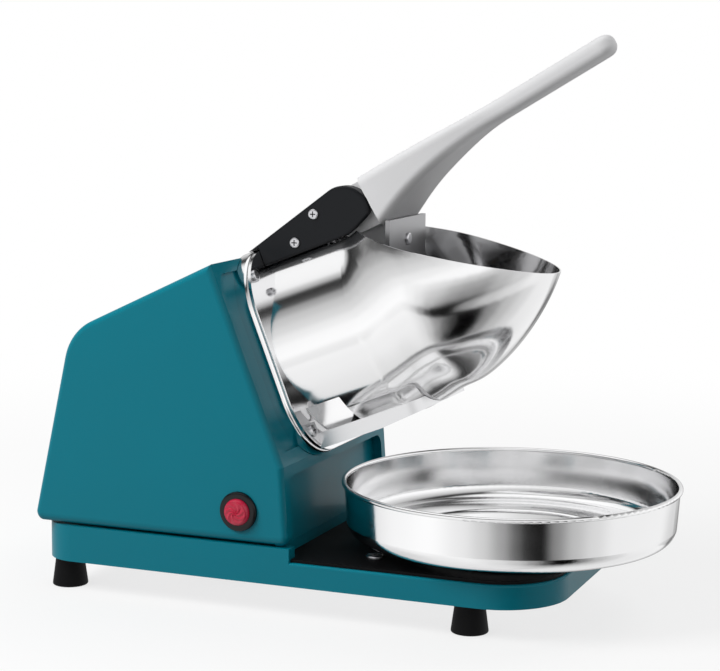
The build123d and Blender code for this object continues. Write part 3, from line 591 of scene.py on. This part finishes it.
# How much of the walls' grey shows at a height. Where none does, they are white.
GAP_DEPTHS: Stops = (
    (-1.0, 0.2), (-0.7, 1.0), (-0.3, 1.0), (-0.15, 0.7), (0.0, 0.6), (0.1, 0.4), (0.22, 0.0))
# The level of the soft light from all round, by height: weak from below.
SKY: Stops = ((-1.0, 0.2), (-0.1, 0.4), (0.4, 1.0))


def halves(stops: Stops) -> Stops:
    """Stops along -1 to 1 as stops along 0 to 1."""
    return tuple((0.5 + place / 2, level) for place, level in stops)


def turns(stops: Stops) -> Stops:
    """Stops along -180 to 180 degrees as stops along 0 to 1."""
    return tuple((0.5 + degrees / 360, level) for degrees, level in stops)


@dataclass(frozen=True)
class Lamp:
    """A square soft light that faces the machine.

    Attributes:
        name: The light's name.
        place: Where it hangs.
        size: Length of its sides.
        power: Its power, in watts.
        aim_height: Height on the machine's upright axis that it faces.
    """

    name: str
    place: Point
    size: float
    power: float
    aim_height: float = 0.15

    def hang(self) -> None:
        """Add the light to the scene. Metal doesn't reflect it."""
        data = bpy.data.lights.new(self.name, "AREA")
        data.shape = "SQUARE"
        data.size = self.size
        data.energy = self.power
        light = bpy.data.objects.new(self.name, data)
        light.location = self.place
        away = Vector(self.place) - Vector((0.0, 0.0, self.aim_height))
        light.rotation_euler = away.to_track_quat("Z", "Y").to_euler()
        light.visible_glossy = False
        bpy.context.scene.collection.objects.link(light)


@dataclass
class Studio:
    """The camera, the floor, the soft lights and what the metal reflects.

    Attributes:
        azimuth: Camera azimuth from -Y towards +X, in degrees.
        elevation: Camera elevation, in degrees.
        roll: Camera roll, in degrees.
        place: Camera place.
        lens: Focal length, in millimetres.
        sensor: Width of the picture behind the lens, in millimetres.
        nearest: Distance from which the camera shows anything.
        floor_half_size: Half the length of the floor's sides.
        floor_points: Number of points along each side of the floor's grid.
        floor_gap: How far the floor lies below the feet.
        floor_roughness: Roughness of the floor.
        floor_shade: Grey level of the floor.
        floor_bounce: Grey level by which the floor lights the machine from below.
        floor_white: Share of plain white that the floor shows near the machine.
        floor_near: Distance at which that share starts to grow.
        floor_far: Distance from which the floor is plain white.
        ambient: Level of the soft light from all round.
        studio_level: Strength of the studio that metal reflects.
        bar_lean_side: How far the upright of the bands leans to the camera's right.
        bar_lean_near: How far it leans towards the camera.
        lamps: The soft lights: a key from the upper left, and one on the far side.
    """

    azimuth: float = 21.9
    elevation: float = 8.1
    roll: float = 0.47
    place: Point = (0.4772, -1.2131, 0.3570)
    lens: float = 100.0
    sensor: float = 36.0
    nearest: float = 0.01
    floor_half_size: float = 9.0
    floor_points: int = 5
    floor_gap: float = 0.0002
    floor_roughness: float = 0.9
    floor_shade: float = 0.9
    floor_bounce: float = 0.3
    floor_white: float = 0.72
    floor_near: float = 0.2
    floor_far: float = 1.1
    ambient: float = 0.46
    studio_level: float = 1.12
    bar_lean_side: float = -0.3213
    bar_lean_near: float = -0.162
    lamps: tuple[Lamp, ...] = (
        Lamp("key_light", (-0.85, -0.9, 1.1), 0.7, 17.0),
        Lamp("back_light", (0.9, 1.3, 1.9), 1.4, 12.0))

    def level_axes(self) -> tuple[Vector, Vector, Vector]:
        """Work out the directions that the studio is laid out along.

        Returns:
            The level directions to the camera's right and towards its side, and straight up.
        """
        turn = math.radians(self.azimuth)
        right = Vector((math.cos(turn), math.sin(turn), 0.0))
        towards = Vector((math.sin(turn), -math.cos(turn), 0.0))
        return right, towards, Vector((0.0, 0.0, 1.0))

    def camera(self) -> None:
        """Put the camera where the photograph was taken from."""
        right, towards, upright = self.level_axes()
        lift, roll = math.radians(self.elevation), math.radians(self.roll)
        back = towards * math.cos(lift) + upright * math.sin(lift)
        up = back.cross(right)
        rolled_right = right * math.cos(roll) + up * math.sin(roll)
        rolled_up = up * math.cos(roll) - right * math.sin(roll)
        camera = bpy.data.objects.new("camera", bpy.data.cameras.new("camera"))
        camera.data.lens = self.lens
        camera.data.sensor_width = self.sensor
        camera.data.sensor_fit = "HORIZONTAL"
        camera.data.clip_start = self.nearest
        matrix = Matrix((rolled_right, rolled_up, back)).transposed().to_4x4()
        matrix.translation = Vector(self.place)
        camera.matrix_world = matrix
        bpy.context.scene.collection.objects.link(camera)
        bpy.context.scene.camera = camera

    def floor(self) -> None:
        """Lay the floor: a flat square grid just below the feet. Metal doesn't show it."""
        steps = np.linspace(-self.floor_half_size, self.floor_half_size, self.floor_points)
        x, y = np.meshgrid(steps, steps, indexing="ij")
        points = np.stack([x.ravel(), y.ravel(), np.full(x.size, -self.floor_gap)], axis=1)
        floor = mesh_object("floor", points, grid_faces(self.floor_points, self.floor_points))
        floor.data.materials.append(self.floor_finish())
        floor.visible_glossy = False
        floor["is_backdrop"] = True

    def floor_finish(self) -> bpy.types.Material:
        """Make the floor's pale finish, which fades into the white background.

        Near the machine the floor shows its own shade and shadow and a little of the
        background's white. Its share of plain white grows smoothly with the distance from
        the machine, for the camera and through clear glass.

        Returns:
            The material.
        """
        material = bpy.data.materials.new("pale_floor")
        material.use_nodes = True
        graph = Graph(material.node_tree)
        output = graph.add("ShaderNodeOutputMaterial")
        shader = graph.add("ShaderNodeBsdfPrincipled")
        white = graph.add("ShaderNodeEmission")
        rays = graph.add("ShaderNodeLightPath").outputs
        distance = graph.add("ShaderNodeVectorMath", operation="LENGTH")
        place = graph.add("ShaderNodeTexCoord").outputs["Object"]
        graph.feed(distance.inputs[0], place)
        share = graph.spread(
            distance.outputs["Value"], self.floor_white, 1.0,
            self.floor_near, self.floor_far, "SMOOTHERSTEP")
        shade = graph.mix(
            rays["Is Diffuse Ray"], (self.floor_shade,) * 3, (self.floor_bounce,) * 3)
        seen = graph.math("MAXIMUM", rays["Is Camera Ray"], rays["Is Transmission Ray"])
        graph.feed(shader.inputs["Roughness"], self.floor_roughness)
        graph.feed(shader.inputs["Base Color"], shade)
        lit = graph.fade(
            graph.math("MULTIPLY", seen, share), shader.outputs["BSDF"],
            white.outputs["Emission"])
        graph.feed(output.inputs["Surface"], lit)
        return material

    def reflected(self, graph: Graph, direction: Socket, height: Socket) -> Socket:
        """What the metal reflects: bands along a leaning upright, between pale walls.

        The bands hold one bright bar overhead with a dark band under it. The walls have a
        dark gap on the camera's side and another behind the machine. The gaps turn with
        the height, show at low heights only, and darken the bands:
        level = BANDS(leaning) * (1 + (WALLS(azimuth - GAP_TURNS(height)) - 1)
        * GAP_DEPTHS(height)).

        Args:
            graph: The graph that the nodes go into.
            direction: The direction that the metal reflects.
            height: That direction's height, from 0 to 1.

        Returns:
            The grey's socket.
        """
        right, towards, upright = self.level_axes()
        leaning = upright + right * self.bar_lean_side + towards * self.bar_lean_near
        share = graph.along(direction, leaning.normalized())
        bands = graph.ramp(graph.halved(share), halves(BANDS))
        # The azimuth is a share of a full turn, with the camera's side at the middle.
        angle = graph.math(
            "ARCTAN2", graph.along(direction, right), graph.along(direction, towards))
        azimuth = graph.math("MULTIPLY_ADD", angle, 0.5 / math.pi, 0.5)
        turned = graph.math("SUBTRACT", azimuth, graph.ramp(height, halves(GAP_TURNS)))
        walls = graph.mix(
            graph.ramp(height, halves(GAP_DEPTHS)), WHITE, graph.ramp(turned, turns(WALLS)))
        return graph.mix(1.0, bands, walls, "MULTIPLY")

    def world(self) -> None:
        """Set what surrounds the machine, by the kind of ray.

        The camera sees plain white, metal reflects the studio, and everything else gets
        the soft light from all round, which is weaker from below.
        """
        world = bpy.data.worlds.new("studio")
        bpy.context.scene.world = world
        world.use_nodes = True
        graph = Graph(world.node_tree)
        output = graph.add("ShaderNodeOutputWorld")
        rays = graph.add("ShaderNodeLightPath").outputs
        direction = graph.add("ShaderNodeTexCoord").outputs["Generated"]
        _, _, upright = self.level_axes()
        height = graph.halved(graph.along(direction, upright))
        studio = graph.background(
            self.reflected(graph, direction, height), self.studio_level)
        soft = graph.background(graph.ramp(height, halves(SKY)), self.ambient)
        white = graph.background(WHITE, 1.0)
        lit = graph.fade(rays["Is Glossy Ray"], soft, studio)
        graph.feed(output.inputs["Surface"], graph.fade(rays["Is Camera Ray"], lit, white))

    def build(self) -> None:
        """Make the whole studio and set how colours are shown."""
        bpy.context.scene.view_settings.view_transform = "Standard"
        self.camera()
        self.floor()
        for lamp in self.lamps:
            lamp.hang()
        self.world()


# ------------------------------------------------------------------ added pieces
COLLAR_TILT = math.radians(21.8)


class Facing(Enum):
    """Where a flat face on the machine faces. The collar's face leans back."""

    NEAR = (0.0, -1.0, 0.0)
    FAR = (0.0, 1.0, 0.0)
    TOP = (0.0, 0.0, 1.0)
    COLLAR = (math.cos(COLLAR_TILT), 0.0, math.sin(COLLAR_TILT))


@dataclass
class ButtonLens:
    """The cut lens on the power button: facets that rise and fall round a shallow dome.

    Attributes:
        rim: How far the lens stays inside the button's edge.
        rings: The rings' shares of the lens's radius. The last two are the edge's top and
            foot.
        steps: Number of facets round the lens.
        dome: How far the middle stands above the edge.
        relief: How far the facets' corners rise and fall.
        depth: How far the lens reaches into the button.
        lift: How far its edge stands proud of the button's face.
    """

    rim: float = 0.0014
    rings: tuple[float, ...] = (0.22, 0.5, 0.78, 1.0, 1.0)
    steps: int = 14
    dome: float = 0.0006
    relief: float = 0.0003
    depth: float = 0.0008
    lift: float = 0.0001

    def build(self, finishes: Finishes) -> bpy.types.Object:
        """Make the lens on the button's outer face.

        Inside the edge a corner's height is lift + dome (1 - q^2) + relief (-1)^(i + j), at
        ring i and step j, with q the ring's share of the radius.

        Args:
            finishes: Where the material comes from.

        Returns:
            The lens.
        """
        low, high = (np.array(corner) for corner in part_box("power_button"))
        radius = (high[0] - low[0]) / 2 - self.rim
        shares = np.array(self.rings)
        signs = (-1.0) ** np.add.outer(np.arange(shares.size), np.arange(self.steps))
        heights = self.lift + self.dome * (1 - shares**2)[:, None] + self.relief * signs
        heights[-2], heights[-1] = self.lift, -self.depth
        radii = radius * shares[:, None] * np.ones(self.steps)
        points, faces = closed_turning(radii, heights)
        centre = np.array([(low[0] + high[0]) / 2, low[1], (low[2] + high[2]) / 2])
        points = placed(points, centre, Facing.NEAR.value)
        lens = mesh_object("button_lens", points, faces, smooth=False)
        lens.data.materials.append(finishes.get(Finishes.BUTTON))
        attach(lens, Body.BUTTON.value)
        return lens


HEADS: dict[str, Facing] = {
    "hinge_screw_near_1": Facing.NEAR, "hinge_screw_near_2": Facing.NEAR,
    "hinge_screw_far_1": Facing.FAR, "hinge_screw_far_2": Facing.FAR,
    "tray_screw_1": Facing.TOP, "tray_screw_2": Facing.TOP,
    "collar_screw_1": Facing.COLLAR, "collar_screw_2": Facing.COLLAR,
    "collar_screw_3": Facing.COLLAR, "collar_screw_4": Facing.COLLAR,
}


@dataclass
class ScrewRecessShades:
    """Dark flat crosses on the heads of the screws that show: painted shade of their cross
    recesses.

    Attributes:
        reach: Half the length of a cross's strip, as a share of the head's radius.
        width: Width of a strip, as a share of the head's radius.
        edge_round: Radius of the round edge of a collar screw's head.
        proud: How far the painted cross's face stays above the head, so that it shows.
        thickness: Depth of the recess's body in the head.
        long_points: Number of points along a strip.
        wide_points: Number of points across a strip.
    """

    reach: float = 0.56
    width: float = 0.24
    edge_round: float = 0.00144
    proud: float = 0.00004
    thickness: float = 0.0004
    long_points: int = 9
    wide_points: int = 3

    def collar_head(self, low: np.ndarray, high: np.ndarray) -> tuple[np.ndarray, float]:
        """Middle and radius of the flat top of a collar screw's head.

        The round edge is a ring of radius R - e round the axis, e below the flat top. With
        t the tilt, it reaches x_high = x - e cos t + (R - e) sin t + e, and the same for z
        with the sine and the cosine changed round.

        Args:
            low: The low corner of the screw's box.
            high: The box's high corner.

        Returns:
            The middle and the radius R.
        """
        radius = (high[1] - low[1]) / 2
        edge, flat = self.edge_round, radius - self.edge_round
        cosine, sine = math.cos(COLLAR_TILT), math.sin(COLLAR_TILT)
        x = high[0] - edge - flat * sine + edge * cosine
        z = high[2] - edge - flat * cosine + edge * sine
        return np.array([x, (low[1] + high[1]) / 2, z]), radius

    def straight_head(
        self, low: np.ndarray, high: np.ndarray, facing: Point,
    ) -> tuple[np.ndarray, float]:
        """Middle and radius of the top of a head that faces along one of the axes.

        Args:
            low: The low corner of the screw's box.
            high: The box's high corner.
            facing: Where the head faces.

        Returns:
            The middle and the radius.
        """
        axis = int(np.argmax(np.abs(facing)))
        across = (axis + 1) % 3
        middle = (low + high) / 2
        middle[axis] = (high if facing[axis] > 0 else low)[axis]
        return middle, (high[across] - low[across]) / 2

    def heads(self) -> Iterator[tuple[np.ndarray, float, Point]]:
        """Find the heads' flat tops from the screws' boxes.

        Yields:
            The middle, the radius and the direction of each.
        """
        for name, facing in HEADS.items():
            low, high = (np.array(corner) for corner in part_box(name))
            if facing is Facing.COLLAR:
                yield *self.collar_head(low, high), facing.value
            else:
                yield *self.straight_head(low, high, facing.value), facing.value

    def build(self, finishes: Finishes) -> bpy.types.Object:
        """Make all painted recess shades as one piece.

        A cross is two flat strips on a head's top, dark to paint the recess's shade, and a
        modifier sinks their body.

        Args:
            finishes: Where the material comes from.

        Returns:
            The piece.
        """
        along, across = np.meshgrid(
            np.linspace(-1, 1, self.long_points), np.linspace(-1, 1, self.wide_points),
            indexing="ij")
        quads = grid_faces(self.long_points, self.wide_points)
        height = np.full(along.shape, self.proud)
        strips, faces = [], []
        for middle, radius, facing in self.heads():
            x, y = along * self.reach * radius, across * self.width * radius / 2
            for strip in ((x, y, height), (-y, x, height)):
                faces.append(quads + along.size * len(strips))
                points = np.stack(strip, axis=-1).reshape(-1, 3)
                strips.append(placed(points, middle, facing))
        piece = mesh_object("screw_recess_shades", np.vstack(strips), np.vstack(faces))
        body = piece.modifiers.new("body", "SOLIDIFY")
        body.thickness = self.thickness
        body.offset = -1.0
        piece.data.materials.append(finishes.get(Finishes.RECESS_SHADE))
        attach(piece, Body.MACHINE.value)
        return piece


def main() -> None:
    """Build the dressed machine and its studio, in order."""
    logging.basicConfig(level=logging.INFO, format="%(name)s: %(message)s")
    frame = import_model()
    cad_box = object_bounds()
    Studio().build()
    LOG.info("studio ready")
    finishes = Finishes()
    dress_nodes(frame["nodes"], finishes)
    LOG.info("dressed %d nodes", len(frame["nodes"]))
    for maker in (ButtonLens(), ScrewRecessShades()):
        LOG.info("added %s", maker.build(finishes).name)
    boxes = [[list(map(float, corner)) for corner in box] for box in (cad_box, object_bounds())]


if __name__ == "__main__":
    main()
